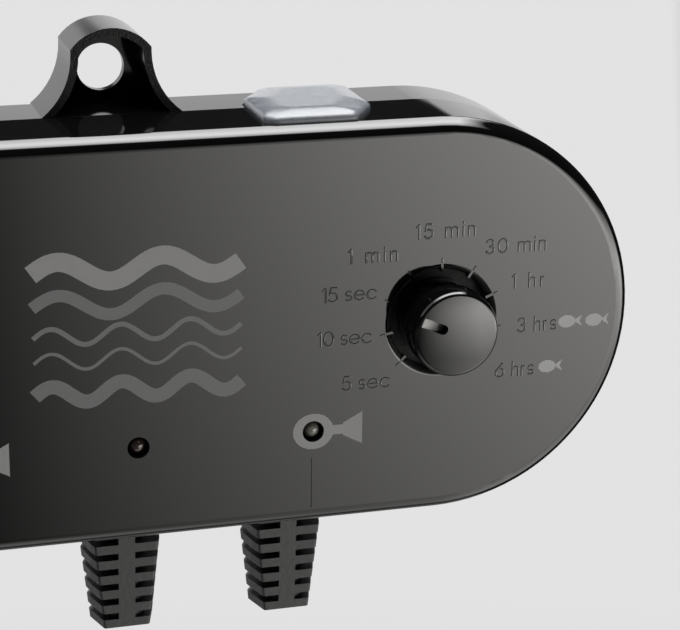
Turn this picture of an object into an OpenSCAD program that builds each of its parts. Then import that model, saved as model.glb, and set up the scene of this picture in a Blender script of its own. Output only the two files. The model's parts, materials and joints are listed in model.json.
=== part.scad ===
// Wall-hung timer controller for a pair of aquarium wave pumps.
// Two glossy shells hold a nine-step rotary switch, a feed button, two lamps, a light sensor,
// a control board and a mains switching board. Three strain reliefs take cables out at the bottom.
// Frame: X runs along the body, Y points at the wall, Z is up. The origin is the centre of the
// hanger eye, on the wall face.

/* [Housing] */
// Width of the housing
body_w = 185.2; // [180:0.2:195]
// Height of the housing, which also sets its round ends
body_h = 74; // [72:1:80]
// Depth from the wall face to the front face
body_d = 31.5; // [31:0.5:34]
// Depth of the rear shell, from the wall face to the parting plane
rear_d = 13.5; // [13:0.5:14]
// Wall thickness of both shells
wall = 2.2; // [2:0.1:2.4]
// Rounding of the front edge
front_round = 2.75; // [1.5:0.25:3]
// Rounding of the rear edge
rear_round = 1.3; // [0.8:0.1:2]
// Drop from the hanger eye to the centre line of the housing
eye_drop = 43.4; // [42:0.2:46]

/* [Hanger] */
// Radius of the hanger eye
eye_r = 4.3; // [3:0.1:4.5]
// Half width of the hanger neck
neck_half = 7.2; // [6.5:0.1:8]
// Half width of the hanger where it meets the housing
foot_half = 12.6; // [11:0.1:14]
// Thickness of the hanger web
web_t = 2; // [1.6:0.1:2.6]
// Thickness of the rim around the web
rim_t = 1.4; // [1:0.1:1.8]

/* [Dial] */
// Distance from the middle of the housing to the dial
dial_x = 55.9; // [54:0.1:57]
// Angle between two dial marks
dial_step = 33.35; // [30:0.05:36]
// Mark that the pointer stands at, counted from the left end
dial_rest = 3; // [1:1:9]
// Radius of the knob
knob_r = 7.9; // [7:0.1:8.4]
// Height of the knob
knob_h = 5; // [4:0.5:6]
// Distance from the front face to the knob's face
knob_out = 8.9; // [8:0.1:10]
// Radius of the knob recess at its wall
recess_r = 9.4; // [9.2:0.1:9.6]
// Rounding of the recess lip
lip_round = 1.2; // [0.8:0.1:1.4]
// Depth of the knob recess
recess_d = 3; // [2.6:0.1:3]

/* [Feed button] */
// Width of the button
button_w = 21.1; // [18:0.1:22]
// Depth of the button, from front to back
button_l = 24.7; // [22:0.1:24.7]
// Distance from the centre line of the housing to the centre of the button
button_x = 34.85; // [33:0.05:36]
// Height that the button stands proud
button_out = 2; // [1.5:0.1:2.5]
// Travel of the button
button_travel = 0.8; // [0.5:0.1:0.8]

/* [Strain reliefs] */
// Distance from the centre relief to the outer ones
relief_pitch = 31; // [30:0.5:33]
// Width of a relief's front where it leaves the housing
relief_top = 13.4; // [12.4:0.2:13.4]
// Width of a relief's front at its lower end
relief_end = 8.8; // [8.6:0.1:9.4]
// Bulge of a relief's sides beyond its front
relief_bulge = 1.6; // [0.5:0.1:2]
// Length of a relief below the housing
relief_l = 24; // [24:1:28]
// Radius of the cable bore
cable_r = 3.35; // [3:0.05:3.5]

/* [Lamps] */
// Distance from the light sensor to each lamp
lamp_pitch = 32; // [31:0.5:33]
// Depth of the lamps and the sensor below the centre line
lamp_drop = 19.2; // [18:0.2:20]
// Radius of a lamp
lamp_r = 1.5; // [1.4:0.1:1.6]
// Radius of the holes in the front face
lamp_hole_r = 2; // [1.9:0.1:2.2]

/* [Hidden] */

$fn = 64;
hair = 0.02;     // clearance of a fixed fit
slip = 0.05;     // radial clearance of a running fit
over = 0.5;      // overshoot of a cut or of a joined root

end_r = body_h / 2;
half_span = body_w / 2 - end_r;
front_d = body_d - rear_d;
mid_z = -eye_drop;
top_z = mid_z + end_r;
bottom_z = mid_z - end_r;
seam_y = -rear_d;
front_in = front_d - wall;      // inner face of the front wall, ahead of the parting plane
rear_in = rear_d - wall;        // inner face of the rear wall, behind the parting plane

// Case screws: corner ones, one under the hanger and two between the reliefs
corner_x = half_span + 19.4;
corner_z = 20;
low_x = 16;
low_z = 30.7;
case_points = [
    [-corner_x, -corner_z], [corner_x, -corner_z], [-corner_x, corner_z], [corner_x, corner_z],
    [0, 30.5], [-low_x, -low_z], [low_x, -low_z]
];
case_shank_r = 1.5;
case_head_r = 2.6;
case_head_h = 1.8;
case_seat = 3.5;
case_l = 20;
case_boss_r = 3.4;              // boss in the front shell
case_post_r = 4.2;              // post in the rear shell

// Control board, on posts behind the front wall
board_t = 1.6;
control_z = 6;                  // its front side, ahead of the parting plane
control_x0 = -42;
control_x1 = 66;
control_y0 = -27;
control_y1 = 25.5;
control_points = [[-38, -22.5], [-38, 20], [62, -22.5], [62, 21]];
small_shank_r = 1;
small_head_r = 2;
small_head_h = 1.4;
small_l = 6;
board_post_r = 2.6;

// Power board, on posts ahead of the rear wall
power_z = 7.5;                  // its front side, behind the parting plane
power_x0 = -64;
power_x1 = 22;
power_y0 = -26;
power_y1 = 25;
tall_h = 10.4;                  // height of the relays, the capacitors and the terminal block
fuse_r = 2.6;
fuse_y = 18;                    // the fuse's axis, above the centre line
fuse_z = power_z - 4.4;
power_points = [[-60, -22], [-60, 21], [18, -22], [18, 21]];

// Rotary switch, heights ahead of the parting plane
recess_z = front_d - recess_d;
recess_floor = 1.8;
switch_front = recess_z - recess_floor - 0.2;
switch_w = 16;
cavity_r = 5.4;
rotor_r = 5;
shaft_r = 3;
bushing_r = 4.4;
bushing_top = recess_z + 4;
washer_t = 0.4;
nut_t = 2;
knob_face = front_d + knob_out;
knob_back = knob_face - knob_h;
knob_edge = 0.8;
knob_skirt = 1.1;
knob_foot = bushing_top + 0.6;
knob_hub_r = 5;
shaft_top = knob_face - 3.2;
slot_floor = knob_face - 2.7;
slot_w = 1.8;
slot_r0 = 2.8;
slot_r1 = knob_r - knob_edge - 0.2;
rest_angle = (5 - dial_rest) * dial_step + 90;
ball_r = 0.85;

// Feed button, heights above the centre line of the housing
button_y = -body_d / 2;         // centre of the button, from the wall face
cut_w = 4.6;                    // the two cut corners, across and along
cut_l = 7.6;
nip = 1.6;                      // the two other corners
corner_round = 1.2;             // rounding of all corners, seen from above
button_top = end_r + button_out;
flange_t = 1.5;
flange_top = end_r - wall - 0.1;
cap_t = 1.6;
crown_h = 1.2;                  // rounded crown, up and inwards
crown_in = 4;
crown_arc = 75;                 // part of a quarter turn that the crown takes, in degrees
crown_step = 7.5;
guide_y = 27;
guide_t = 1.6;
guide_x0 = -13;                 // its ends, from the centre of the button
guide_x1 = 13;
rib_w = 4;                      // ribs of the front shell that carry the guide
rib_t = 1.2;
rib_l = 8;
rib_in = 0.15;                  // from the guide's end to the rib's outer side
stem_r = 2.5;
stem_tip_r = 1.8;
feed_switch_top = 19.4;
plunger_top = feed_switch_top + button_travel + 0.4;
plunger_r = 1.6;

relief_y = -11.5;               // centre of the reliefs, from the wall face
slot_pitch = 3.15;
slot_h = 1.35;
first_slot = 2;
slot_count = 7;
core_r = cable_r + 0.8;
spine_w = 3.1;
neck_w = 10;
collar_t = 2.6;

lamp_tip = front_d - 0.3;
lamp_body_h = 5.1;
lead_r = 0.25;
lead_x = 0.64;
spacer_r = 2.2;

// ---------- placing ----------

// x stays, y becomes height above the centre line, z runs forward from the parting plane
module on_front() {
    translate([0, seam_y, mid_z]) rotate([90, 0, 0]) children();
}

// the same, with z running backward from the parting plane
module on_rear() {
    translate([0, seam_y, mid_z]) mirror([0, 1, 0]) rotate([90, 0, 0]) children();
}

module at_points(points, z = 0) {
    for (p = points) translate([p[0], p[1], z]) children();
}

module on_dial() {
    on_front() translate([dial_x, 0, 0]) children();
}

// x stays along the body, y runs to the wall, z is height above the centre line
module at_button() {
    translate([button_x, button_y, mid_z]) children();
}

module block(x0, x1, y0, y1, z0, z1) {
    translate([x0, y0, z0]) cube([x1 - x0, y1 - y0, z1 - z0]);
}

// ---------- shared shapes ----------

module end_section(depth, radius, rounding) {
    square([radius - rounding, depth]);
    square([radius, depth - rounding]);
    translate([radius - rounding, depth - rounding]) circle(rounding);
}

// Solid with straight sides, half round ends and a rounded far edge, standing on z = 0
module stadium(depth, radius, rounding) {
    for (side = [-1, 1])
        translate([side * half_span, 0, 0]) rotate([0, 0, -90 * side])
            rotate_extrude(angle = 180, $fn = 96) end_section(depth, radius, rounding);
    rotate([90, 0, 90]) linear_extrude(2 * half_span, center = true) {
        end_section(depth, radius, rounding);
        mirror([1, 0]) end_section(depth, radius, rounding);
    }
}

module ring(outer, inner, height) {
    difference() {
        cylinder(height, r = outer);
        translate([0, 0, -over]) cylinder(height + 2 * over, r = inner);
    }
}

// Outline of the feed button from above, grown by g on every side
module button_outline(g) {
    x = button_w / 2 + g;
    y = button_l / 2 + g;
    offset(r = corner_round, $fn = 32) offset(delta = -corner_round) polygon([
        [-x + nip, -y], [x - cut_w, -y], [x, -y + cut_l], [x, y - nip],
        [x - nip, y], [-x + cut_w, y], [-x, y - cut_l], [-x, -y + nip]
    ]);
}

module button_opening() {
    at_button() translate([0, 0, end_r - wall - over])
        linear_extrude(wall + 2 * over) button_outline(0.25);
}

module relief_openings() {
    for (i = [-1, 0, 1]) translate([i * relief_pitch, relief_y, bottom_z + wall / 2])
        cube([neck_w + 0.1, neck_w + 0.1, wall + 2 * over], center = true);
}

// Screw along -z with its head above z = 0 and a cross recess
module screw(shank_r, head_r, head_h, length) {
    translate([0, 0, -length]) cylinder(length, r = shank_r);
    difference() {
        cylinder(head_h, r = head_r);
        for (turn = [0, 90]) rotate([0, 0, turn]) translate([0, 0, head_h])
            cube([head_r * 1.2, head_r * 0.28, head_h], center = true);
    }
}

// ---------- housing ----------

module recess_cut() {
    rotate_extrude($fn = 96) {
        translate([0, recess_z]) square([recess_r, recess_d + over]);
        difference() {
            translate([0, front_d - lip_round]) square([recess_r + lip_round, lip_round + over]);
            translate([recess_r + lip_round, front_d - lip_round]) circle(lip_round);
        }
    }
}

module dial_marks() {
    for (i = [-4:4]) rotate([0, 0, 90 - i * dial_step])
        block(recess_r - 0.25, recess_r + lip_round, -0.22, 0.22, front_d - 1.5, front_d);
}

module front_shell() {
    color("#101011") {
        difference() {
            on_front() difference() {
                stadium(front_d, end_r, front_round);
                translate([0, 0, -over]) stadium(front_in + over, end_r - wall, 0.3);
            }
            on_dial() recess_cut();
            on_dial() translate([0, 0, recess_z - over]) cylinder(over * 2, r = bushing_r + 0.2);
            on_front() at_points([[-lamp_pitch, -lamp_drop], [0, -lamp_drop], [lamp_pitch, -lamp_drop]],
                                 front_in - over)
                cylinder(wall + 2 * over, r = lamp_hole_r);
            button_opening();
            relief_openings();
        }
        on_dial() dial_marks();
        on_dial() difference() {
            translate([0, 0, recess_z - recess_floor])
                ring(recess_r + wall, bushing_r + 0.2, front_in - recess_z + recess_floor + over);
            recess_cut();
        }
        on_front() at_points(case_points) ring(case_boss_r, case_shank_r + hair, front_in + 0.1);
        on_front() at_points(control_points, control_z)
            ring(board_post_r, small_shank_r + hair, front_in - control_z + 0.1);
        on_front() for (x = [guide_x0 + rib_in, guide_x1 + rib_in - rib_w])
            translate([button_x + x, 0, 0])
                block(0, rib_w, guide_y - rib_t, guide_y, front_in - rib_l, front_in + over);
    }
}

// Hanger outline, from the housing up to a crown around the eye; inset moves it inwards
module hanger_outline(inset) {
    arc_z = 4.5;
    drop = arc_z - top_z;
    flare = foot_half - neck_half;
    arc_r = (drop * drop + flare * flare) / (2 * flare);
    crown_r = 9;
    intersection() {
        union() {
            difference() {
                translate([-foot_half, top_z - over]) square([2 * foot_half, drop + over]);
                for (side = [-1, 1])
                    translate([side * (neck_half + arc_r), arc_z]) circle(arc_r + inset, $fn = 96);
            }
            translate([-neck_half + inset, arc_z - hair]) square([2 * (neck_half - inset), crown_r]);
        }
        union() {
            circle(crown_r - inset);
            translate([-foot_half, top_z - over]) square([2 * foot_half, -top_z + over]);
        }
    }
}

module hanger() {
    rotate([90, 0, 0]) linear_extrude(web_t) difference() {
        hanger_outline(0);
        circle(eye_r);
    }
    difference() {
        rotate([90, 0, 0]) linear_extrude(rear_d) hanger_outline(0);
        translate([0, -web_t, 0]) rotate([90, 0, 0]) linear_extrude(rear_d) hanger_outline(rim_t);
        rotate([90, 0, 0]) translate([0, 0, -over]) cylinder(rear_d, r = eye_r);
    }
}

module rear_shell() {
    color("#141415") difference() {
        union() {
            on_rear() difference() {
                stadium(rear_d, end_r, rear_round);
                translate([0, 0, -over]) stadium(rear_in + over, end_r - wall, 0.3);
            }
            hanger();
            on_rear() at_points(case_points) cylinder(rear_in + over, r = case_post_r);
            on_rear() at_points(power_points, power_z + board_t)
                cylinder(rear_in - power_z - board_t + over, r = board_post_r);
        }
        on_rear() at_points(case_points, -over) cylinder(rear_d + 2 * over, r = case_shank_r + 0.1);
        on_rear() at_points(case_points, rear_d - case_seat)
            cylinder(case_seat + over, r = case_head_r + 0.3);
        on_rear() at_points(power_points, power_z)
            cylinder(rear_in - power_z + 1, r = small_shank_r + hair);
        on_rear() translate([0, 0, -over]) seal_ring(0.8 + over, 0);
        button_opening();
        relief_openings();
    }
}

module seal_ring(depth, gap) {
    difference() {
        stadium(depth, end_r - 0.6 - gap, 0.05);
        translate([0, 0, -over]) stadium(depth + 2 * over, end_r - 1.6 + gap, 0.05);
    }
}

module shell_seal() {
    color("#2a2a2a") difference() {
        on_rear() seal_ring(0.78, 0.03);
        at_button() translate([0, 0, end_r - wall - over])
            linear_extrude(wall + 2 * over) button_outline(0.6);
        for (i = [-1, 0, 1]) translate([i * relief_pitch, relief_y, bottom_z + wall / 2])
            cube([neck_w + 1, neck_w + 1, wall + 2 * over], center = true);
    }
}

module case_screws() {
    color("silver") on_rear() at_points(case_points, rear_d - case_seat)
        screw(case_shank_r, case_head_r, case_head_h, case_l);
}

// ---------- strain reliefs ----------

// Six-sided plate, widest behind its middle, with rounded corners
module relief_plate(side, height) {
    corner = side / 2 - 0.5;
    widest = side / 5;
    linear_extrude(height) hull() for (x = [-1, 1]) {
        for (y = [-1, 1]) translate([x * corner, y * corner]) circle(0.5, $fn = 16);
        translate([x * (corner + relief_bulge), widest]) circle(0.5, $fn = 16);
    }
}

module relief_slot() {
    difference() {
        cube([2 * relief_top, 2 * relief_top, slot_h], center = true);
        cylinder(2 * slot_h, r = core_r, center = true);
        cube([spine_w, 3 * relief_top, 2 * slot_h], center = true);
    }
}

module strain_relief(i) {
    color("#222224") translate([i * relief_pitch, relief_y, bottom_z]) difference() {
        union() {
            hull() {
                translate([0, 0, -0.5]) relief_plate(relief_top, 0.5);
                translate([0, 0, -relief_l]) relief_plate(relief_end, 0.5);
            }
            translate([-neck_w / 2, -neck_w / 2, -over]) cube([neck_w, neck_w, wall + 2 * over]);
            translate([-relief_top / 2, -relief_top / 2, wall + 0.05])
                cube([relief_top, relief_top, collar_t]);
        }
        for (k = [0:slot_count - 1])
            translate([0, 0, -first_slot - slot_h / 2 - k * slot_pitch]) relief_slot();
        translate([0, 0, -relief_l - 1]) cylinder(relief_l + wall + collar_t + 2, r = cable_r);
    }
}

module strain_relief_left() { strain_relief(-1); }
module strain_relief_centre() { strain_relief(0); }
module strain_relief_right() { strain_relief(1); }

// ---------- dial and rotary switch ----------

module pointer_slot(width) {
    intersection() {
        circle(slot_r1);
        union() {
            translate([slot_r0, 0]) circle(width / 2, $fn = 32);
            translate([slot_r0, -width / 2]) square([knob_r, width]);
        }
    }
}

module knob() {
    color("#161617") on_dial() difference() {
        rotate_extrude($fn = 96) difference() {
            translate([0, knob_foot]) end_section(knob_face - knob_foot, knob_r, knob_edge);
            translate([knob_hub_r, knob_foot - over]) square([knob_r, knob_back - knob_foot + over]);
            translate([knob_hub_r, knob_foot - over])
                square([knob_r - knob_skirt - knob_hub_r, slot_floor - 0.6 - knob_foot + over]);
        }
        difference() {
            cylinder(shaft_top + 0.1, r = shaft_r + hair);
            translate([shaft_r - 0.8 + hair, -shaft_r, 0]) cube([2, 2 * shaft_r, knob_face]);
        }
        rotate([0, 0, rest_angle]) translate([0, 0, slot_floor])
            linear_extrude(knob_face) pointer_slot(slot_w);
    }
}

module pointer_insert() {
    color("#b8b8b6") on_dial() rotate([0, 0, rest_angle]) difference() {
        intersection() {
            translate([0, 0, slot_floor]) linear_extrude(knob_face) pointer_slot(slot_w - 2 * hair);
            rotate([90, 0, 0]) linear_extrude(slot_w, center = true) polygon([
                [0, slot_floor], [knob_r, slot_floor], [knob_r, knob_face - 0.05],
                [slot_r1 - 0.3, knob_face - 0.05],
                [slot_r0 - slot_w / 2, slot_floor + 0.4], [0, slot_floor + 0.4]
            ]);
        }
        translate([slot_r0 + 0.2, 0, slot_floor + 0.3]) cylinder(3, r = 0.28);
    }
}

module switch_shaft() {
    color("#c9c9c4") on_dial() difference() {
        translate([0, 0, control_z + 2]) cylinder(shaft_top - control_z - 2, r = shaft_r);
        translate([shaft_r - 0.8, -shaft_r, bushing_top + 0.2]) cube([2, 2 * shaft_r, knob_face]);
    }
}

module switch_rotor() {
    color("#e6e2d5") on_dial() difference() {
        translate([0, 0, control_z + 2.2]) ring(rotor_r, shaft_r + hair, 2);
        for (i = [0:8]) rotate([0, 0, i * dial_step])
            translate([-rotor_r - 0.4, 0, control_z]) cylinder(6, r = ball_r);
    }
}

module switch_housing() {
    color("#2b2b2e") on_dial() difference() {
        union() {
            block(-switch_w / 2, switch_w / 2, -switch_w / 2, switch_w / 2,
                  control_z + 0.8, switch_front);
            translate([0, 0, switch_front - over])
                cylinder(bushing_top - switch_front + over, r = bushing_r);
        }
        translate([0, 0, control_z]) cylinder(5.4, r = cavity_r);
        translate([0, 0, control_z]) cylinder(bushing_top, r = shaft_r + slip);
        block(-7.3, -4, -3.2, 3.2, control_z, control_z + 4.6);
    }
}

module switch_base() {
    pin_r = 0.35;
    color("#5a4a2e") on_dial() {
        block(-switch_w / 2, switch_w / 2, -switch_w / 2, switch_w / 2, control_z, control_z + 0.8);
        for (i = [0:9]) rotate([0, 0, i * 36])
            translate([6.6, 0, control_z - board_t - 1]) cylinder(board_t + 1 + 0.4, r = pin_r, $fn = 24);
    }
}

module detent_ball() {
    color("silver") on_dial()
        translate([-rotor_r - ball_r - 0.06, 0, control_z + 3.2]) sphere(ball_r, $fn = 32);
}

module detent_leaf_spring() {
    back = -rotor_r - 2 * ball_r - 0.06;
    color("#c8a24a") on_dial() block(back - 0.25, back, -3, 3, control_z + 2.1, control_z + 4.3);
}

module switch_washer() {
    color("silver") on_dial() translate([0, 0, recess_z]) ring(7.2, bushing_r + 0.1, washer_t);
}

module switch_nut() {
    color("#b9b9bd") on_dial() translate([0, 0, recess_z + washer_t]) difference() {
        cylinder(nut_t, r = 6.9, $fn = 6);
        translate([0, 0, -over]) cylinder(nut_t + 2 * over, r = bushing_r + hair);
    }
}

// ---------- control board ----------

module control_board() {
    color("#1f6b3a") difference() {
        on_front() block(control_x0, control_x1, control_y0, control_y1, control_z - board_t, control_z);
        on_front() at_points(control_points, 0) cylinder(control_z + 1, r = small_shank_r + 0.15);
        on_front() at_points([
            for (x = [-lamp_pitch, 0, lamp_pitch], s = [-1, 1]) [x + s * lead_x, -lamp_drop]
        ], 0)
            cylinder(control_z + 1, r = lead_r + 0.15, $fn = 24);
        on_dial() for (i = [0:9]) rotate([0, 0, i * 36]) translate([6.6, 0, 0])
            cylinder(control_z + 1, r = 0.5, $fn = 24);
    }
}

module control_board_screws() {
    color("silver") on_front() at_points(control_points, control_z - board_t) mirror([0, 0, 1])
        screw(small_shank_r, small_head_r, small_head_h, small_l);
}

module controller_chip() {
    color("#1a1a1c") on_front() {
        block(6, 16, 0, 6, control_z + 0.15, control_z + 1.9);
        for (i = [0:7], side = [0, 1])
            block(6.6 + i * 1.2, 7.1 + i * 1.2, side * 7 - 1, side * 7, control_z, control_z + 0.8);
    }
}

module lamp_at(x, tint) {
    color(tint) on_front() translate([x, -lamp_drop, 0]) {
        base = lamp_tip - lamp_body_h;
        translate([0, 0, base]) cylinder(lamp_body_h - lamp_r, r = lamp_r);
        translate([0, 0, lamp_tip - lamp_r]) sphere(lamp_r, $fn = 48);
        translate([0, 0, base]) cylinder(1, r = lamp_r + 0.4);
        for (s = [-1, 1]) translate([s * lead_x, 0, control_z - board_t - 0.8])
            cylinder(base - control_z + board_t + 1, r = lead_r, $fn = 24);
    }
}

module lamp_left() { lamp_at(-lamp_pitch, "#e8dfc4"); }
module lamp_right() { lamp_at(lamp_pitch, "#e8dfc4"); }
module light_sensor() { lamp_at(0, "#1c1413"); }

module lamp_spacers() {
    height = lamp_tip - lamp_body_h - control_z;
    color("#2d2d30") on_front()
        at_points([for (x = [-lamp_pitch, 0, lamp_pitch]) [x, -lamp_drop]], control_z)
            difference() {
                cylinder(height, r = spacer_r);
                for (s = [-1, 1]) translate([s * lead_x, 0, -over])
                    cylinder(height + 2 * over, r = lead_r + 0.05, $fn = 24);
            }
}

// ---------- feed button ----------

module feed_button() {
    color("#dfe4e8") at_button() difference() {
        union() {
            translate([0, 0, flange_top - flange_t]) linear_extrude(flange_t) button_outline(0.8);
            translate([0, 0, flange_top - flange_t])
                linear_extrude(button_top - crown_h - flange_top + flange_t) button_outline(0);
            hull() for (a = [0:crown_step:crown_arc]) {
                rise = crown_h * sin(a) / sin(crown_arc);
                translate([0, 0, button_top - crown_h - 0.05 + rise]) linear_extrude(0.05)
                    button_outline(-crown_in * (1 - cos(a)) / (1 - cos(crown_arc)));
            }
        }
        difference() {
            translate([0, 0, flange_top - flange_t - over])
                linear_extrude(button_top - cap_t - flange_top + flange_t + over) button_outline(-cap_t);
            cylinder(button_top, r = stem_r);
        }
    }
    color("#dfe4e8") at_button() {
        translate([0, 0, guide_y - 0.5]) cylinder(button_top - cap_t - guide_y + 0.6, r = stem_r);
        translate([0, 0, plunger_top]) cylinder(guide_y - plunger_top, r = stem_tip_r);
    }
}

// Coil of round wire, swept ring by ring
module button_spring() {
    wire_r = 0.3;
    coil_r = 3.6;
    turns = 5;
    sides = 8;
    rings = 80;
    base = guide_y + guide_t + wire_r;
    rise = button_top - cap_t - base - wire_r;
    points = [for (i = [0:rings], j = [0:sides - 1])
        let (t = 360 * turns * i / rings, a = 360 * j / sides, r = coil_r + wire_r * cos(a))
            [r * cos(t), r * sin(t), base + rise * i / rings + wire_r * sin(a)]];
    skin = [for (i = [0:rings - 1], j = [0:sides - 1])
        let (k = (j + 1) % sides)
            [i * sides + j, (i + 1) * sides + j, (i + 1) * sides + k, i * sides + k]];
    caps = [[for (j = [0:sides - 1]) j], [for (j = [sides - 1:-1:0]) rings * sides + j]];
    color("silver") at_button() polyhedron(points, concat(skin, caps));
}

module button_guide() {
    color("#3a3a3e") difference() {
        translate([0, 0, mid_z])
            block(button_x + guide_x0, button_x + guide_x1, -body_d + wall + 0.1, -7.5,
                  guide_y, guide_y + guide_t);
        at_button() cylinder(guide_y + 3, r = stem_r + slip);
    }
}

module feed_switch_body() {
    back = seam_y - control_z + board_t;
    color("#3b3b3b") difference() {
        translate([0, 0, mid_z])
            block(button_x - 3, button_x + 3, back, back + 5.4, feed_switch_top - 4, feed_switch_top);
        at_button() translate([0, 0, feed_switch_top - 3]) cylinder(4, r = plunger_r + slip);
    }
}

module feed_switch_plunger() {
    color("#d8d0b8") at_button()
        translate([0, 0, plunger_top - 3]) cylinder(3 - hair, r = plunger_r);
}

// ---------- power board ----------

module power_board() {
    color("#7a6a2c") on_rear() difference() {
        block(power_x0, power_x1, power_y0, power_y1, power_z, power_z + board_t);
        at_points(power_points) cylinder(power_z + board_t + 1, r = small_shank_r + 0.15);
    }
}

module power_board_screws() {
    color("silver") on_rear() at_points(power_points, power_z) mirror([0, 0, 1])
        screw(small_shank_r, small_head_r, small_head_h, 3.5);
}

module relay(x) {
    color("#e9e6dc") on_rear() difference() {
        block(x, x + 20, 1, 12, power_z - tall_h, power_z);
        block(x + 1.5, x + 2.5, 0, 3, power_z - tall_h - over, power_z - tall_h + 0.5);
    }
}

module relay_left() { relay(-60); }
module relay_right() { relay(-36); }

module film_capacitor() {
    color("#d9b23a") on_rear() block(-12, 6, 3, 11.5, power_z - tall_h, power_z);
}

module smoothing_capacitor() {
    color("#26355c") on_rear() translate([14, -6, power_z - tall_h]) cylinder(tall_h, r = 4);
}

module fuse() {
    color("#d6dde0") on_rear() translate([-54, fuse_y, fuse_z]) rotate([0, 90, 0])
        cylinder(20, r = fuse_r);
}

module fuse_clips() {
    color("#c9c9c4") on_rear() for (x = [-53, -38]) difference() {
        block(x, x + 3, fuse_y - 3.4, fuse_y + 3.4, power_z - 6.5, power_z);
        translate([x - over, fuse_y, fuse_z]) rotate([0, 90, 0])
            cylinder(3 + 2 * over, r = fuse_r + hair);
        block(x - over, x + 3 + over, fuse_y - 1.6, fuse_y + 1.6, power_z - 8, power_z - 4);
    }
}

module terminal_block() {
    pole = 7.5;
    poles = 6;
    first = -32.5;
    color("#2f7d4f") on_rear() difference() {
        block(first, first + poles * pole, -24, -14, power_z - tall_h, power_z);
        for (i = [0:poles - 1]) translate([first + pole * (i + 0.5), 0, 0]) {
            translate([0, -18, power_z - tall_h - over]) cylinder(3, r = 2.2);
            translate([0, -24 - over, power_z - 4]) rotate([-90, 0, 0]) cylinder(6, r = 1.8);
        }
    }
}

module board_link() {
    color("#1c1c1e") on_rear() block(-2, 14, 17, 19.5, board_t - control_z, power_z);
}

front_shell();
rear_shell();
shell_seal();
case_screws();
strain_relief_left();
strain_relief_centre();
strain_relief_right();
knob();
pointer_insert();
switch_shaft();
switch_rotor();
switch_housing();
switch_base();
detent_ball();
detent_leaf_spring();
switch_washer();
switch_nut();
control_board();
control_board_screws();
controller_chip();
lamp_left();
lamp_right();
light_sensor();
lamp_spacers();
feed_button();
button_spring();
button_guide();
feed_switch_body();
feed_switch_plunger();
power_board();
power_board_screws();
relay_left();
relay_right();
film_capacitor();
smoothing_capacitor();
fuse();
fuse_clips();
terminal_block();
board_link();
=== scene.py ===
"""Looks of a wall-hung timer controller for aquarium wave pumps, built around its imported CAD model."""

import json
import math

import bpy
from mathutils import Matrix, Vector
from mathutils.geometry import delaunay_2d_cdt
from mathutils.kdtree import KDTree


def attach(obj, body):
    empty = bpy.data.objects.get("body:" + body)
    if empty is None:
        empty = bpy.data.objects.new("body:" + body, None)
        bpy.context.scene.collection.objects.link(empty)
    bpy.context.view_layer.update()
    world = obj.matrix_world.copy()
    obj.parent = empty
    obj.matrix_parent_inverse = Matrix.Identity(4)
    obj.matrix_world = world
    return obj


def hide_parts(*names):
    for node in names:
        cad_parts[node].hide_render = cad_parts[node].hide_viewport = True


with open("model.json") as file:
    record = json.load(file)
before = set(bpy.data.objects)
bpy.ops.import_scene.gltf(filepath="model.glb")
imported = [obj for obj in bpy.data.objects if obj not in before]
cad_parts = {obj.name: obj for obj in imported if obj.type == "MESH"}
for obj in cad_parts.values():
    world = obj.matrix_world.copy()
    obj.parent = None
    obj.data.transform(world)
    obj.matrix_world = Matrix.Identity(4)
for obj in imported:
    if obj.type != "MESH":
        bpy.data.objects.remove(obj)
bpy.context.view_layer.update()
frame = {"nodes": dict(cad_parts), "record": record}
nodes = frame["nodes"]
MM = 0.001

# The housing in the CAD: front face, round ends, straight part, front rounding, dial and lamps
FACE_Y = -31.5 * MM
END_R = 37 * MM
HALF_SPAN = 55.6 * MM
FRONT_ROUND = 2.75 * MM
CENTRE_Z = -43.4 * MM
HOUSING_TOP = -6.4 * MM
HANGER_FRONT = -13.45 * MM
DIAL_X = 55.9 * MM
DIAL_STEP = 33.35
LAMP_X = 32 * MM
LAMP_Z = -62.6 * MM
# Slope of the side walls and strength of the knob's dome, both in the shading only
FRONT_DRAFT = 0.035
KNOB_DOME = 8.0


# ---------- materials ----------

SHELL_COLOUR = (0.0012, 0.0012, 0.0012)


def socket_values(shader, values):
    for name, value in values.items():
        shader.inputs[name].default_value = value


def new_material(name):
    material = bpy.data.materials.new(name)
    material.use_nodes = True
    shader = material.node_tree.nodes["Principled BSDF"]
    return material, material.node_tree, shader


def object_noise(tree, scale, detail=3.0, distortion=0.0):
    place = tree.nodes.new("ShaderNodeTexCoord")
    noise = tree.nodes.new("ShaderNodeTexNoise")
    noise.inputs["Scale"].default_value = scale
    noise.inputs["Detail"].default_value = detail
    noise.inputs["Distortion"].default_value = distortion
    tree.links.new(place.outputs["Object"], noise.inputs["Vector"])
    return noise


def add_bump(tree, shader, source, distance, strength=1.0):
    bump = tree.nodes.new("ShaderNodeBump")
    bump.inputs["Strength"].default_value = strength
    bump.inputs["Distance"].default_value = distance
    tree.links.new(source, bump.inputs["Height"])
    tree.links.new(bump.outputs["Normal"], shader.inputs["Normal"])
    return bump


def add_ramp(tree, source, low, high, low_value, high_value):
    """Straight-line map of a value; the ends hold beyond low and high."""
    ramp = tree.nodes.new("ShaderNodeMapRange")
    ramp.clamp = True
    ramp.inputs["From Min"].default_value = low
    ramp.inputs["From Max"].default_value = high
    ramp.inputs["To Min"].default_value = low_value
    ramp.inputs["To Max"].default_value = high_value
    tree.links.new(source, ramp.inputs["Value"])
    return ramp.outputs["Result"]


def add_mix(tree, factor, first, second):
    mix = tree.nodes.new("ShaderNodeMix")
    mix.data_type = "RGBA"
    mix.inputs["A"].default_value = (*first, 1)
    mix.inputs["B"].default_value = (*second, 1)
    tree.links.new(factor, mix.inputs["Factor"])
    return mix.outputs["Result"]


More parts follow.
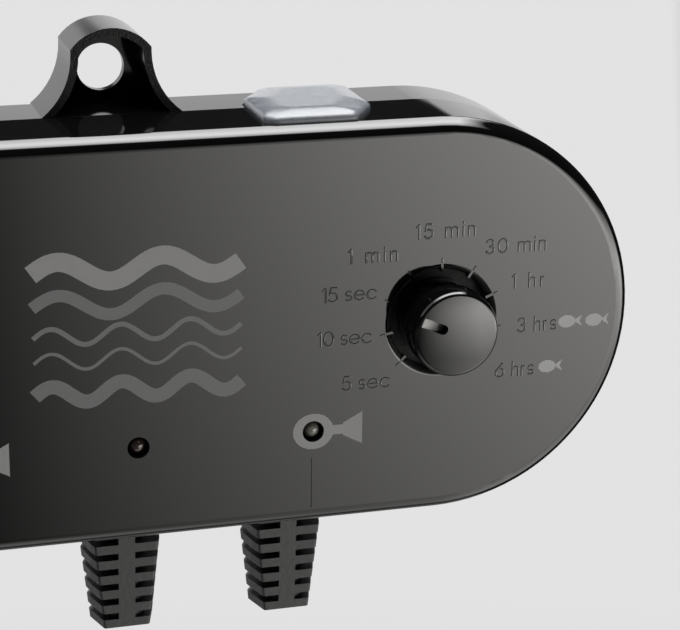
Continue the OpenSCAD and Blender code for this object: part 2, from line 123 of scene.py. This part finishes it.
def plastic(name, colour, rough, grain=400, depth=0.004, tint=0.12, **more):
    """Moulded plastic, rubber or paint: a faint unevenness in colour, gloss and surface."""
    material, tree, shader = new_material(name)
    socket_values(shader, more)
    noise = object_noise(tree, grain)
    darker = tuple(c * (1 - tint) for c in colour)
    lighter = tuple(min(1, c * (1 + tint)) for c in colour)
    tree.links.new(add_mix(tree, noise.outputs["Fac"], darker, lighter), shader.inputs["Base Color"])
    tree.links.new(
        add_ramp(tree, noise.outputs["Fac"], 0.3, 0.7, rough * 0.9, rough * 1.1),
        shader.inputs["Roughness"],
    )
    add_bump(tree, shader, noise.outputs["Fac"], depth * MM)
    return material


def shell_gloss(name):
    """Polished black whose side walls lean in slightly towards the front, as moulded walls do."""
    material, tree, shader = new_material(name)
    socket_values(shader, {"Base Color": (*SHELL_COLOUR, 1), "IOR": 1.5})
    noise = object_noise(tree, 60)
    tree.links.new(
        add_ramp(tree, noise.outputs["Fac"], 0.3, 0.7, 0.045, 0.055), shader.inputs["Roughness"]
    )
    place = tree.nodes.new("ShaderNodeTexCoord")
    parts = tree.nodes.new("ShaderNodeSeparateXYZ")
    tree.links.new(place.outputs["Object"], parts.inputs["Vector"])
    add_bump(tree, shader, parts.outputs["Y"], FRONT_DRAFT)
    return material


def knob_gloss(name):
    """Polished black with a slightly domed face."""
    material, tree, shader = new_material(name)
    socket_values(shader, {"Base Color": (*SHELL_COLOUR, 1), "IOR": 1.5})
    noise = object_noise(tree, 80)
    tree.links.new(
        add_ramp(tree, noise.outputs["Fac"], 0.3, 0.7, 0.07, 0.09), shader.inputs["Roughness"]
    )
    place = tree.nodes.new("ShaderNodeTexCoord")
    centre = tree.nodes.new("ShaderNodeVectorMath")
    centre.operation = "SUBTRACT"
    centre.inputs[1].default_value = (DIAL_X, 0, CENTRE_Z)
    tree.links.new(place.outputs["Object"], centre.inputs[0])
    flat = tree.nodes.new("ShaderNodeVectorMath")
    flat.operation = "MULTIPLY"
    flat.inputs[1].default_value = (1, 0, 1)
    tree.links.new(centre.outputs["Vector"], flat.inputs[0])
    square = tree.nodes.new("ShaderNodeVectorMath")
    square.operation = "DOT_PRODUCT"
    tree.links.new(flat.outputs["Vector"], square.inputs[0])
    tree.links.new(flat.outputs["Vector"], square.inputs[1])
    add_bump(tree, shader, square.outputs["Value"], -KNOB_DOME)
    return material


def metal(name, colour, rough):
    """Plated or drawn metal with fine lines along one direction."""
    material, tree, shader = new_material(name)
    socket_values(shader, {"Base Color": (*colour, 1), "Metallic": 1.0})
    place = tree.nodes.new("ShaderNodeTexCoord")
    mapping = tree.nodes.new("ShaderNodeMapping")
    mapping.inputs["Scale"].default_value = (1, 1, 40)
    noise = tree.nodes.new("ShaderNodeTexNoise")
    noise.inputs["Scale"].default_value = 300
    tree.links.new(place.outputs["Object"], mapping.inputs["Vector"])
    tree.links.new(mapping.outputs["Vector"], noise.inputs["Vector"])
    tree.links.new(
        add_ramp(tree, noise.outputs["Fac"], 0.3, 0.7, rough * 0.7, rough * 1.3),
        shader.inputs["Roughness"],
    )
    add_bump(tree, shader, noise.outputs["Fac"], 0.004 * MM)
    return material


def circuit_board(name, colour, track):
    """Board with lighter tracks under the mask."""
    material, tree, shader = new_material(name)
    place = tree.nodes.new("ShaderNodeTexCoord")
    cells = tree.nodes.new("ShaderNodeTexVoronoi")
    cells.distance = "MANHATTAN"
    cells.feature = "DISTANCE_TO_EDGE"
    cells.inputs["Scale"].default_value = 160
    tree.links.new(place.outputs["Object"], cells.inputs["Vector"])
    lines = add_ramp(tree, cells.outputs["Distance"], 0.04, 0.06, 1, 0)
    tree.links.new(add_mix(tree, lines, colour, track), shader.inputs["Base Color"])
    add_bump(tree, shader, lines, 0.02 * MM)
    shader.inputs["Roughness"].default_value = 0.35
    return material


def rear_gloss(name):
    """Polished black, duller on the hanger, whose front edge is grained."""
    material, tree, shader = new_material(name)
    socket_values(shader, {"Base Color": (0.0016, 0.0016, 0.0018, 1), "IOR": 1.5})
    place = tree.nodes.new("ShaderNodeTexCoord")
    parts = tree.nodes.new("ShaderNodeSeparateXYZ")
    tree.links.new(place.outputs["Object"], parts.inputs["Vector"])
    ahead = add_ramp(tree, parts.outputs["Y"], HANGER_FRONT, HANGER_FRONT + 0.15 * MM, 1, 0)
    above = add_ramp(tree, parts.outputs["Z"], HOUSING_TOP - 0.2 * MM, HOUSING_TOP + 0.1 * MM, 0, 1)
    edge = tree.nodes.new("ShaderNodeMath")
    edge.operation = "MULTIPLY"
    tree.links.new(ahead, edge.inputs[0])
    tree.links.new(above, edge.inputs[1])
    grains = object_noise(tree, 2600, 2)
    relief = tree.nodes.new("ShaderNodeMath")
    relief.operation = "MULTIPLY"
    tree.links.new(edge.outputs["Value"], relief.inputs[0])
    tree.links.new(grains.outputs["Fac"], relief.inputs[1])
    tree.links.new(
        add_ramp(tree, edge.outputs["Value"], 0, 1, 0.09, 0.38), shader.inputs["Roughness"]
    )
    tree.links.new(add_ramp(tree, above, 0, 1, 0.5, 0.16), shader.inputs["Specular IOR Level"])
    add_bump(tree, shader, relief.outputs["Value"], 0.14 * MM)
    return material


def frosted(name):
    """Milky, slightly blue translucent plastic with a satin skin; its edges are rounded over."""
    material, tree, shader = new_material(name)
    socket_values(
        shader,
        {
            "IOR": 1.5,
            "Transmission Weight": 0.2,
            "Subsurface Weight": 0.2,
            "Subsurface Radius": (1, 1, 1),
            "Subsurface Scale": 0.002,
        },
    )
    noise = object_noise(tree, 260, 6, 0.6)
    tree.links.new(
        add_mix(tree, noise.outputs["Fac"], (0.072, 0.079, 0.089), (0.115, 0.123, 0.135)),
        shader.inputs["Base Color"],
    )
    tree.links.new(
        add_ramp(tree, noise.outputs["Fac"], 0.3, 0.7, 0.12, 0.2), shader.inputs["Roughness"]
    )
    fine = object_noise(tree, 1400, 2)
    bump = add_bump(tree, shader, fine.outputs["Fac"], 0.012 * MM)
    rounded = tree.nodes.new("ShaderNodeBevel")
    rounded.samples = 12
    rounded.inputs["Radius"].default_value = 1.6 * MM
    tree.links.new(rounded.outputs["Normal"], bump.inputs["Normal"])
    return material


def clear_lens(name, colour, density):
    """Clear or dark epoxy lens."""
    material, tree, shader = new_material(name)
    socket_values(shader, {"IOR": 1.5, "Transmission Weight": density, "Roughness": 0.03})
    noise = object_noise(tree, 900)
    darker = tuple(c * 0.8 for c in colour)
    tree.links.new(add_mix(tree, noise.outputs["Fac"], darker, colour), shader.inputs["Base Color"])
    return material


MATERIALS = {
    "shell_black": shell_gloss("shell_black"),
    # painted shade: the shell black made matte and barely reflecting, for the recess's wall and floor,
    # so the recess reads as dark as its shade
    "recess_painted_shade": plastic(
        "recess_painted_shade", SHELL_COLOUR, 0.5, 900, 0.02, **{"Specular IOR Level": 0.15}
    ),
    "print_grey": plastic("print_grey", (0.052, 0.052, 0.053), 0.5, 700, 0.01),
    "print_pale": plastic("print_pale", (0.105, 0.105, 0.105), 0.5, 700, 0.01),
    "print_light": plastic("print_light", (0.17, 0.17, 0.168), 0.5, 700, 0.01),
    "hanger_black": rear_gloss("hanger_black"),
    "seal_rubber": plastic("seal_rubber", (0.03, 0.03, 0.03), 0.7, 500, 0.03),
    "relief_rubber": plastic("relief_rubber", (0.010, 0.0103, 0.011), 0.55, 1200, 0.06),
    "knob_black": knob_gloss("knob_black"),
    "pointer_grey": plastic("pointer_grey", (0.18, 0.18, 0.175), 0.4, 900, 0.02),
    "steel": metal("steel", (0.60, 0.60, 0.61), 0.3),
    # nearly black steel for the nut and washer deep in the dial's recess: partly painted shade, darkened
    # so that the recess reads as dark
    "steel_black": metal("steel_black", (0.02, 0.02, 0.022), 0.4),
    "spring_steel": metal("spring_steel", (0.50, 0.50, 0.51), 0.25),
    "brass": metal("brass", (0.72, 0.52, 0.22), 0.3),
    "rotor_cream": plastic("rotor_cream", (0.72, 0.68, 0.56), 0.45),
    "switch_dark": plastic("switch_dark", (0.045, 0.045, 0.05), 0.45, 700, 0.03),
    "wafer_brown": plastic("wafer_brown", (0.17, 0.11, 0.05), 0.5, 300, 0.02),
    "board_green": circuit_board("board_green", (0.02, 0.13, 0.05), (0.05, 0.24, 0.10)),
    "board_tan": circuit_board("board_tan", (0.30, 0.22, 0.09), (0.40, 0.32, 0.16)),
    "chip_black": plastic("chip_black", (0.012, 0.012, 0.012), 0.55, 900, 0.02),
    "lamp_clear": clear_lens("lamp_clear", (0.90, 0.86, 0.76), 0.9),
    "sensor_dark": clear_lens("sensor_dark", (0.03, 0.02, 0.018), 0.4),
    "spacer_black": plastic("spacer_black", (0.02, 0.02, 0.02), 0.5),
    "button_frost": frosted("button_frost"),
    "guide_grey": plastic("guide_grey", (0.06, 0.06, 0.065), 0.5),
    "plunger_cream": plastic("plunger_cream", (0.66, 0.60, 0.44), 0.4),
    "relay_cream": plastic("relay_cream", (0.74, 0.71, 0.62), 0.4, 300, 0.02),
    "film_yellow": plastic("film_yellow", (0.66, 0.42, 0.04), 0.3),
    "sleeve_blue": plastic("sleeve_blue", (0.02, 0.05, 0.16), 0.3),
    "fuse_glass": clear_lens("fuse_glass", (0.86, 0.92, 0.92), 0.85),
    "tin": metal("tin", (0.62, 0.62, 0.58), 0.3),
    "terminal_green": plastic("terminal_green", (0.03, 0.22, 0.10), 0.4),
}
for part in frame["record"]["subparts"]:
    mesh = nodes[part["node"]].data
    mesh.materials.clear()
    mesh.materials.append(MATERIALS[part["material_slot"]])


# ---------- marks on the front face, in metres ----------


def arc(cx, cy, rx, ry, start, end, steps=10):
    return [
        (
            cx + rx * math.cos(math.radians(start + (end - start) * i / steps)),
            cy + ry * math.sin(math.radians(start + (end - start) * i / steps)),
        )
        for i in range(steps + 1)
    ]


# Single-line letters and figures, on a figure height of 1: a width and a list of strokes
X_HEIGHT = 0.68
HALF = X_HEIGHT / 2
ARCH = 0.22


def arch_strokes(left, top=X_HEIGHT):
    """The right leg of an n: up over an arch and down to the line."""
    return [arc(left + ARCH, top - ARCH, ARCH, ARCH, 180, 0) + [(left + 2 * ARCH, 0)]]


GLYPHS = {
    "0": (0.66, [arc(0.33, 0.5, 0.33, 0.5, 90, 270), arc(0.33, 0.5, 0.33, 0.5, -90, 90)]),
    "1": (0.20, [[(0.0, 0.82), (0.20, 1.0)], [(0.20, 1.0), (0.20, 0.0)]]),
    "3": (0.56, [arc(0.28, 0.75, 0.25, 0.25, 160, -90), arc(0.28, 0.26, 0.28, 0.26, 90, -160)]),
    "5": (
        0.58,
        [
            [(0.52, 1.0), (0.14, 1.0)],
            [(0.14, 1.0), (0.05, 0.54)],
            arc(0.27, 0.31, 0.31, 0.31, 130, -150, 14),
        ],
    ),
    "6": (0.60, [arc(0.30, 0.31, 0.30, 0.31, 0, 360, 20), [(0.48, 1.0), (0.06, 0.48)]]),
    "m": (4 * ARCH, [[(0, X_HEIGHT), (0, 0)]] + arch_strokes(0) + arch_strokes(2 * ARCH)),
    "n": (2 * ARCH, [[(0, X_HEIGHT), (0, 0)]] + arch_strokes(0)),
    "h": (2 * ARCH, [[(0, 1.04), (0, 0)]] + arch_strokes(0)),
    "r": (0.24, [[(0, X_HEIGHT), (0, 0)], arc(0.24, X_HEIGHT - 0.24, 0.24, 0.24, 180, 90)]),
    "i": (0.0, [[(0, X_HEIGHT), (0, 0)], [(0, 0.90), (0, 1.0)]]),
    "c": (0.60, [arc(HALF, HALF, HALF, HALF, 40, 320, 16)]),
    "e": (0.66, [arc(HALF, HALF, HALF, HALF, -40, -360, 18), [(0.0, HALF), (2 * HALF, HALF)]]),
    "s": (0.40, [arc(0.20, 0.50, 0.18, 0.18, 40, 250, 10), arc(0.20, 0.17, 0.20, 0.17, 90, -150, 10)]),
    " ": (0.16, []),
}
LETTER = 2.6 * MM
LABEL_ACROSS = 14.1
LABEL_UP = 15.6
LINE_WIDTH = 0.36 * MM
SLOPE_WIDTH = 0.13 * MM
RAISED = 0.07 * MM
ENGRAVED = 0.2 * MM


def ribbon(points, width):
    """Closed outline of a line of the given width along points."""
    left, right = [], []
    for i, here in enumerate(points):
        before = points[max(0, i - 1)]
        after = points[min(len(points) - 1, i + 1)]
        dx, dy = after[0] - before[0], after[1] - before[1]
        size = math.hypot(dx, dy)
        nx, ny = -dy / size * width / 2, dx / size * width / 2
        left.append((here[0] + nx, here[1] + ny))
        right.append((here[0] - nx, here[1] - ny))
    return left + right[::-1]


def drawn_out(line, extra):
    """The line with both of its ends moved outwards."""

    def beyond(end, inner):
        size = math.dist(end, inner)
        return tuple(e + (e - i) / size * extra for e, i in zip(end, inner))

    return [beyond(line[0], line[1])] + line[1:-1] + [beyond(line[-1], line[-2])]


def distance(x, y, line):
    """Distance of a point from a line of several points."""
    nearest = math.inf
    for (ax, ay), (bx, by) in zip(line, line[1:]):
        dx, dy = bx - ax, by - ay
        share = ((x - ax) * dx + (y - ay) * dy) / (dx * dx + dy * dy)
        share = min(1, max(0, share))
        nearest = min(nearest, math.hypot(x - ax - share * dx, y - ay - share * dy))
    return nearest


def label(text, x, z, anchor, width):
    """Strokes of a word whose baseline starts, ends or is centred at x, z."""
    gaps = len(text) - 1
    natural = sum(GLYPHS[c][0] for c in text) * LETTER
    gap = (width - natural) / gaps
    cursor = x - width * {"left": 0, "centre": 0.5, "right": 1}[anchor]
    lines = []
    for c in text:
        advance, strokes = GLYPHS[c]
        for stroke in strokes:
            lines.append([(cursor + px * LETTER, z + py * LETTER) for px, py in stroke])
        cursor += advance * LETTER + gap
    return lines


def dial_labels():
    """Times around the dial, one to each bar, on an oval about the dial's centre.

    Words to the right of the dial start at the oval, words to the left end there."""
    words = ["5 sec", "10 sec", "15 sec", "1 min", "15 min", "30 min", "1 hr", "3 hrs", "6 hrs"]
    widths = [8.7, 9.8, 9.8, 9.0, 11.0, 11.4, 6.2, 7.5, 7.4]
    shifts = {"15 min": (0, 1.1), "1 min": (-1.3, 0), "3 hrs": (0.4, 0.4), "10 sec": (0.1, 0.7)}
    lines = []
    for step, (text, width) in enumerate(zip(words, widths), -4):
        turn = math.radians(90 - step * DIAL_STEP)
        side, rise = shifts.get(text, (0, 0))
        x = 0.5 + LABEL_ACROSS * math.cos(turn) + side
        z = -1.2 + LABEL_UP * math.sin(turn) + rise
        anchor = "right" if step < 0 else "left" if step > 0 else "centre"
        lines += label(text, DIAL_X + x * MM, CENTRE_Z + z * MM, anchor, width * MM)
    return lines


def dial_ticks():
    """Raised ends that carry the nine bars of the recess on into the face."""
    lines = []
    for step in range(-4, 5):
        turn = math.radians(90 - step * DIAL_STEP)
        lines.append([
            (DIAL_X + r * MM * math.cos(turn), CENTRE_Z + r * MM * math.sin(turn))
            for r in (10.9, 11.55)
        ])
    return lines


def fish(x, z):
    """Small fish facing left: a pointed oval and a tail."""
    top = arc(x + 1.7 * MM, z - 0.5 * MM, 1.9 * MM, 1.7 * MM, 150, 35, 8)
    bottom = arc(x + 1.7 * MM, z + 0.5 * MM, 1.9 * MM, 1.7 * MM, -35, -150, 8)
    tail = [
        (x + 3.0 * MM, z),
        (x + 4.7 * MM, z + 1.1 * MM),
        (x + 4.2 * MM, z),
        (x + 4.7 * MM, z - 1.1 * MM),
    ]
    return [top + bottom, tail]


def pump_sign(x, z):
    """Plain sign for a pump: a disc around a lamp hole, a short neck and a flared mouth."""
    disc = arc(x, z, 3.8 * MM, 3.4 * MM, 0, 345, 23)
    neck = [(3.3, 0.9), (5.8, 0.9), (5.8, -0.9), (3.3, -0.9)]
    mouth = [(5.6, 1.2), (9.2, 3.1), (9.2, -3.1), (5.6, -1.2)]
    return [disc] + [[(x + px * MM, z + pz * MM) for px, pz in shape] for shape in (neck, mouth)]


def wave_band(x0, x1, z, height, thickness, crests):
    steps = 24 * crests
    line = [
        (
            x0 + (x1 - x0) * i / steps,
            z + height * math.sin(2 * math.pi * crests * i / steps),
        )
        for i in range(steps + 1)
    ]
    return ribbon(line, thickness)


def wave_sign():
    """Plain emblem: bands of waves, thick above and below and thin between."""
    x0, x1 = -18.0 * MM, 18.8 * MM
    return [
        wave_band(x0, x1, -29.5 * MM, 2.0 * MM, 3.4 * MM, 2),
        wave_band(x0, x1, -35.5 * MM, 2.0 * MM, 2.2 * MM, 2),
        wave_band(x0, x1, -41.0 * MM, 1.6 * MM, 0.9 * MM, 3),
        wave_band(x0, x1, -45.5 * MM, 1.6 * MM, 0.6 * MM, 3),
        wave_band(x0, x1, -51.5 * MM, 1.6 * MM, 2.6 * MM, 3),
    ]


def sign_line(x):
    return [ribbon([(x, -77.3 * MM), (x, -67.6 * MM)], 0.24 * MM)]


bands = wave_sign()
raised = dial_labels() + dial_ticks()
engraved = sign_line(-31.6 * MM) + sign_line(31.6 * MM)
printed = bands[1:]
pale = bands[:1] + pump_sign(LAMP_X, LAMP_Z) + pump_sign(-LAMP_X, LAMP_Z)
light = fish(78.6 * MM, -45.6 * MM) + fish(83.9 * MM, -45.7 * MM) + fish(75.0 * MM, -54.0 * MM)
COVER_MATERIALS = ("shell_black", "recess_painted_shade", "print_grey", "print_pale", "print_light")
SHELL, RECESS, GREY, PALE, LIGHT = range(len(COVER_MATERIALS))
# Outline, depth and material of each mark that isn't raised
MARKS = (
    [(shape, ENGRAVED, SHELL) for shape in engraved]
    + [(shape, 0.0, GREY) for shape in printed]
    + [(shape, 0.0, PALE) for shape in pale]
    + [(shape, 0.0, LIGHT) for shape in light]
)


def box_of(shape, margin=0.0):
    across, up = [p[0] for p in shape], [p[1] for p in shape]
    return min(across) - margin, max(across) + margin, min(up) - margin, max(up) + margin


def in_box(x, y, box):
    return box[0] <= x <= box[1] and box[2] <= y <= box[3]


def closed(shape):
    """Edges of a closed outline."""
    return list(zip(shape, shape[1:] + shape[:1]))


def inside(x, y, edges):
    """Even-odd test of a point against the edges of closed outlines."""
    hit = False
    for (ax, ay), (bx, by) in edges:
        if (ay > y) != (by > y) and x < (bx - ax) * (y - ay) / (by - ay) + ax:
            hit = not hit
    return hit


RAISED_BOXES = [(box_of(line, LINE_WIDTH), line) for line in raised]
MARK_BOXES = [(box_of(shape), closed(shape), depth, slot) for shape, depth, slot in MARKS]


def rise_at(x, y):
    """Height of the raised lines above the face: a flat top between two slopes."""
    nearest = min((distance(x, y, line) for box, line in RAISED_BOXES if in_box(x, y, box)), default=1)
    return RAISED * min(1, max(0, (LINE_WIDTH / 2 - nearest) / SLOPE_WIDTH))


def mark_at(x, y):
    """Depth and material of the mark at a place on the face."""
    for box, edges, depth, slot in MARK_BOXES:
        if in_box(x, y, box) and inside(x, y, edges):
            return depth, slot
    return 0.0, SHELL


# ---------- front cover: the front shell with its marks ----------

WELD = 0.01 * MM
ON_FACE = 0.002 * MM
RECESS_R = 10.2 * MM
LIP_DEPTH = 0.05 * MM
FRONT = Vector((0, -1, 0))


def in_recess(point):
    """True for the recess's wall and floor, below its rounded lip."""
    far = math.hypot(point.x - DIAL_X, point.z - CENTRE_Z)
    return far < RECESS_R and point.y > FACE_Y + LIP_DEPTH


def rounding_normal(point, given):
    """Exact normal where a point lies on the rounding of the front edge, else the given one."""
    nearest = Vector((min(HALF_SPAN, max(-HALF_SPAN, point.x)), 0, CENTRE_Z))
    outward = Vector((point.x, 0, point.z)) - nearest
    from_axis = outward.length - (END_R - FRONT_ROUND)
    ahead = FACE_Y + FRONT_ROUND - point.y
    if from_axis < 0 or ahead < 0 or abs(math.hypot(from_axis, ahead) - FRONT_ROUND) > 0.02 * MM:
        return given
    return (outward.normalized() * from_axis - Vector((0, ahead, 0))).normalized()


def welded(mesh):
    """Points of a mesh without near repeats, and the point that each vertex becomes."""
    tree = KDTree(len(mesh.vertices))
    for vertex in mesh.vertices:
        tree.insert(vertex.co, vertex.index)
    tree.balance()
    points, merged = [], []
    for vertex in mesh.vertices:
        first = min(i for _, i, _ in tree.find_range(vertex.co, WELD))
        if first == vertex.index:
            merged.append(len(points))
            points.append(vertex.co.copy())
        else:
            merged.append(merged[first])
    return points, merged


def border_of(polygons):
    """Edges that belong to one polygon only."""
    use = {}
    for ids in polygons:
        for a, b in closed(ids):
            edge = (min(a, b), max(a, b))
            use[edge] = use.get(edge, 0) + 1
    return [edge for edge, count in use.items() if count == 1]


def rounded_place(x, y, z):
    """Place in ten-thousandths of a millimetre, to find equal points."""
    return tuple(round(c / MM, 4) for c in (x, y, z))


def cut_face(flat_points, flat_edges):
    """Triangles of the face, cut along its border and along every mark."""
    outlines = [shape for shape, _, _ in MARKS]
    for line in raised:
        outlines.append(ribbon(drawn_out(line, SLOPE_WIDTH), LINE_WIDTH))
        outlines.append(ribbon(line, LINE_WIDTH - 2 * SLOPE_WIDTH))
    all_points, all_edges = list(flat_points), list(flat_edges)
    for shape in outlines:
        start, count = len(all_points), len(shape)
        all_points += shape
        all_edges += [(start + i, start + (i + 1) % count) for i in range(count)]
    result = delaunay_2d_cdt([Vector(p) for p in all_points], all_edges, [], 0, 1e-8)
    return result[0], result[2]


def marked_front(source, name):
    """Copy of the front shell whose flat face carries the raised, engraved and printed marks."""
    mesh = source.data
    corners = [Vector(n.vector) for n in mesh.corner_normals]
    points, merged = welded(mesh)
    index = {rounded_place(*point): i for i, point in enumerate(points)}
    faces, normals, slots, flat = [], [], [], []
    for polygon in mesh.polygons:
        ids = [merged[v] for v in polygon.vertices]
        if len(set(ids)) < len(ids):
            continue
        if all(abs(points[i].y - FACE_Y) < ON_FACE for i in ids):
            flat.append(ids)
            continue
        faces.append(ids)
        normals.append([
            rounding_normal(points[i], corners[k]) for i, k in zip(ids, polygon.loop_indices)
        ])
        # faces in the recess get the matte copy of the shell black, which is painted shade
        slots.append(RECESS if in_recess(polygon.center) else SHELL)

    border = border_of(flat)
    border_ids = sorted({i for edge in border for i in edge})
    place = {i: n for n, i in enumerate(border_ids)}
    flat_points = [(points[i].x, points[i].z) for i in border_ids]
    flat_edges = [(place[a], place[b]) for a, b in border]
    border_lines = [(flat_points[a], flat_points[b]) for a, b in flat_edges]
    cut_points, cut_faces = cut_face(flat_points, flat_edges)
    rises = [rise_at(p.x, p.y) for p in cut_points]
    made = {}

    def point_at(i, depth):
        """Number of the point that a cut point becomes at a depth."""
        if (i, depth) not in made:
            x, z = cut_points[i]
            level = FACE_Y + depth - rises[i]
            known = index.get(rounded_place(x, level, z)) if depth == 0 else None
            made[i, depth] = len(points) if known is None else known
            if known is None:
                points.append(Vector((x, level, z)))
        return made[i, depth]

    sides_of = {}
    for face in cut_faces:
        a, b, c = (cut_points[i] for i in face)
        x, z = (a.x + b.x + c.x) / 3, (a.y + b.y + c.y) / 3
        if not inside(x, z, border_lines):
            continue
        depth, slot = mark_at(x, z)
        if (b.x - a.x) * (c.y - a.y) - (b.y - a.y) * (c.x - a.x) < 0:
            face = face[::-1]
        ids = [point_at(i, depth) for i in face]
        if len(set(ids)) < 3:
            continue
        p, q, r = (points[i] for i in ids)
        sloping = max(rises[i] for i in face) > 0
        faces.append(ids)
        normals.append([(q - p).cross(r - p).normalized() if sloping else FRONT] * 3)
        slots.append(slot)
        for i, j in closed(face):
            sides_of.setdefault((min(i, j), max(i, j)), []).append((i, j, depth, slot))

    # walls between areas of different depth
    for sides in sides_of.values():
        if len(sides) == 2 and sides[0][2] != sides[1][2]:
            (i, j, upper, _), (_, _, lower, slot) = sorted(sides, key=lambda side: side[2])
            ids = [point_at(j, upper), point_at(i, upper), point_at(i, lower), point_at(j, lower)]
            along = points[ids[1]] - points[ids[0]]
            faces.append(ids)
            normals.append([along.cross(FRONT).normalized()] * 4)
            slots.append(slot)

    copy = bpy.data.meshes.new(name)
    copy.from_pydata(points, [], faces)
    for material in COVER_MATERIALS:
        copy.materials.append(MATERIALS[material])
    for polygon, slot in zip(copy.polygons, slots):
        polygon.material_index = slot
        polygon.use_smooth = True
    copy.normals_split_custom_set([n for loop in normals for n in loop])
    piece = bpy.data.objects.new(name, copy)
    bpy.context.scene.collection.objects.link(piece)
    return piece


front_cover = marked_front(nodes["front_shell"], "front_cover")
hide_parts("front_shell")
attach(front_cover, "housing")


# ---------- camera, backdrop and light ----------


CAMERA_PLACE = Vector((-67.05, -391.86, 77.74)) * MM
TURN_RIGHT = 16.14
LOOK_DOWN = 17.51
ROLL = -0.46
LENS = 116.9
SENSOR = 36
SHIFT_ACROSS = -0.0031
SHIFT_UP = -0.0026


def place_camera():
    data = bpy.data.cameras.new("camera")
    camera = bpy.data.objects.new("camera", data)
    bpy.context.scene.collection.objects.link(camera)
    turn_right, look_down = math.radians(TURN_RIGHT), math.radians(LOOK_DOWN)
    forward = Vector((
        math.sin(turn_right) * math.cos(look_down),
        math.cos(turn_right) * math.cos(look_down),
        -math.sin(look_down),
    ))
    side = forward.cross(Vector((0, 0, 1))).normalized()
    up = side.cross(forward)
    roll = Matrix.Rotation(math.radians(ROLL), 3, forward)
    side, up = roll @ side, roll @ up
    turn = Matrix((side, up, -forward)).transposed().to_4x4()
    turn.translation = CAMERA_PLACE
    camera.matrix_world = turn
    data.lens = LENS
    data.sensor_width = SENSOR
    data.sensor_fit = "HORIZONTAL"
    data.shift_x = SHIFT_ACROSS
    data.shift_y = SHIFT_UP
    data.clip_start = 0.01
    bpy.context.scene.camera = camera


place_camera()


NEARLY_DARK = 0.015


def studio():
    """Surroundings that depend on direction only: a pale backdrop behind, a lit panel in front and
    to the right that fades to the left, an overhead light, and nearly dark elsewhere."""
    world = bpy.data.worlds.new("studio")
    bpy.context.scene.world = world
    world.use_nodes = True
    tree = world.node_tree
    background = tree.nodes["Background"]
    place = tree.nodes.new("ShaderNodeTexCoord")
    parts = tree.nodes.new("ShaderNodeSeparateXYZ")
    tree.links.new(place.outputs["Generated"], parts.inputs["Vector"])
    x, y, z = (parts.outputs[c] for c in "XYZ")

    def calc(operation, *values):
        node = tree.nodes.new("ShaderNodeMath")
        node.operation = operation
        for i, value in enumerate(values):
            if isinstance(value, (int, float)):
                node.inputs[i].default_value = value
            else:
                tree.links.new(value, node.inputs[i])
        return node.outputs["Value"]

    def window(value, low, high, soft):
        rise = add_ramp(tree, value, low - soft, low + soft, 0, 1)
        fall = add_ramp(tree, value, high - soft, high + soft, 1, 0)
        return calc("MULTIPLY", rise, fall)

    def product(*values):
        total = values[0]
        for value in values[1:]:
            total = calc("MULTIPLY", total, value)
        return total

    # behind: pale, brighter towards the horizon, cut off above it and to the right
    behind = add_ramp(tree, y, 0.0, 0.2, 0, 1)
    horizon = add_ramp(tree, z, 0.225, 0.245, 1, 0)
    right_end = add_ramp(tree, x, 0.41, 0.45, 1, 0)
    glow = add_ramp(tree, z, -0.12, 0.12, 0.75, 1.05)
    low = add_ramp(tree, z, -0.75, -0.42, 0.55, 1.0)
    backdrop = product(behind, horizon, right_end, glow, low)

    # ahead and to the right: a large soft panel, dimmer to the left, the side and the floor
    across = add_ramp(tree, x, 0.09, 0.45, 0.10, 4.7)
    side = add_ramp(tree, y, -0.25, 0.0, 1, 0)
    height = add_ramp(tree, z, -0.44, -0.20, 0.58, 1.42)
    top = add_ramp(tree, z, -0.15, 0.12, 1, 0)
    panel = product(across, side, height, top)
    floor = product(add_ramp(tree, z, -0.9, -0.6, 1, 0), side, 1.5)

    # overhead: a strong soft light, reaching back from above the front edge
    overhead = product(
        window(y, -0.52, 0.87, 0.05),
        add_ramp(tree, z, 0.36, 0.44, 0, 1),
        add_ramp(tree, y, 0.0, 0.85, 15, 3),
        add_ramp(tree, y, -0.52, -0.2, 0.5, 1),
        add_ramp(tree, x, 0.42, 0.56, 1, 0),
        add_ramp(tree, x, -0.5, -0.2, 0.1, 1),
    )

    neutral = calc("ADD", calc("ADD", backdrop, overhead), NEARLY_DARK)
    background.inputs["Color"].default_value = (1, 1, 1, 1)
    tree.links.new(neutral, background.inputs["Strength"])
    warm = tree.nodes.new("ShaderNodeBackground")
    warm.inputs["Color"].default_value = (1, 0.985, 0.955, 1)
    tree.links.new(calc("MAXIMUM", panel, floor), warm.inputs["Strength"])
    both = tree.nodes.new("ShaderNodeAddShader")
    tree.links.new(background.outputs["Background"], both.inputs[0])
    tree.links.new(warm.outputs["Background"], both.inputs[1])
    tree.links.new(both.outputs["Shader"], tree.nodes["World Output"].inputs["Surface"])


studio()

scene = bpy.context.scene
scene.view_settings.view_transform = "Standard"
scene.view_settings.look = "None"
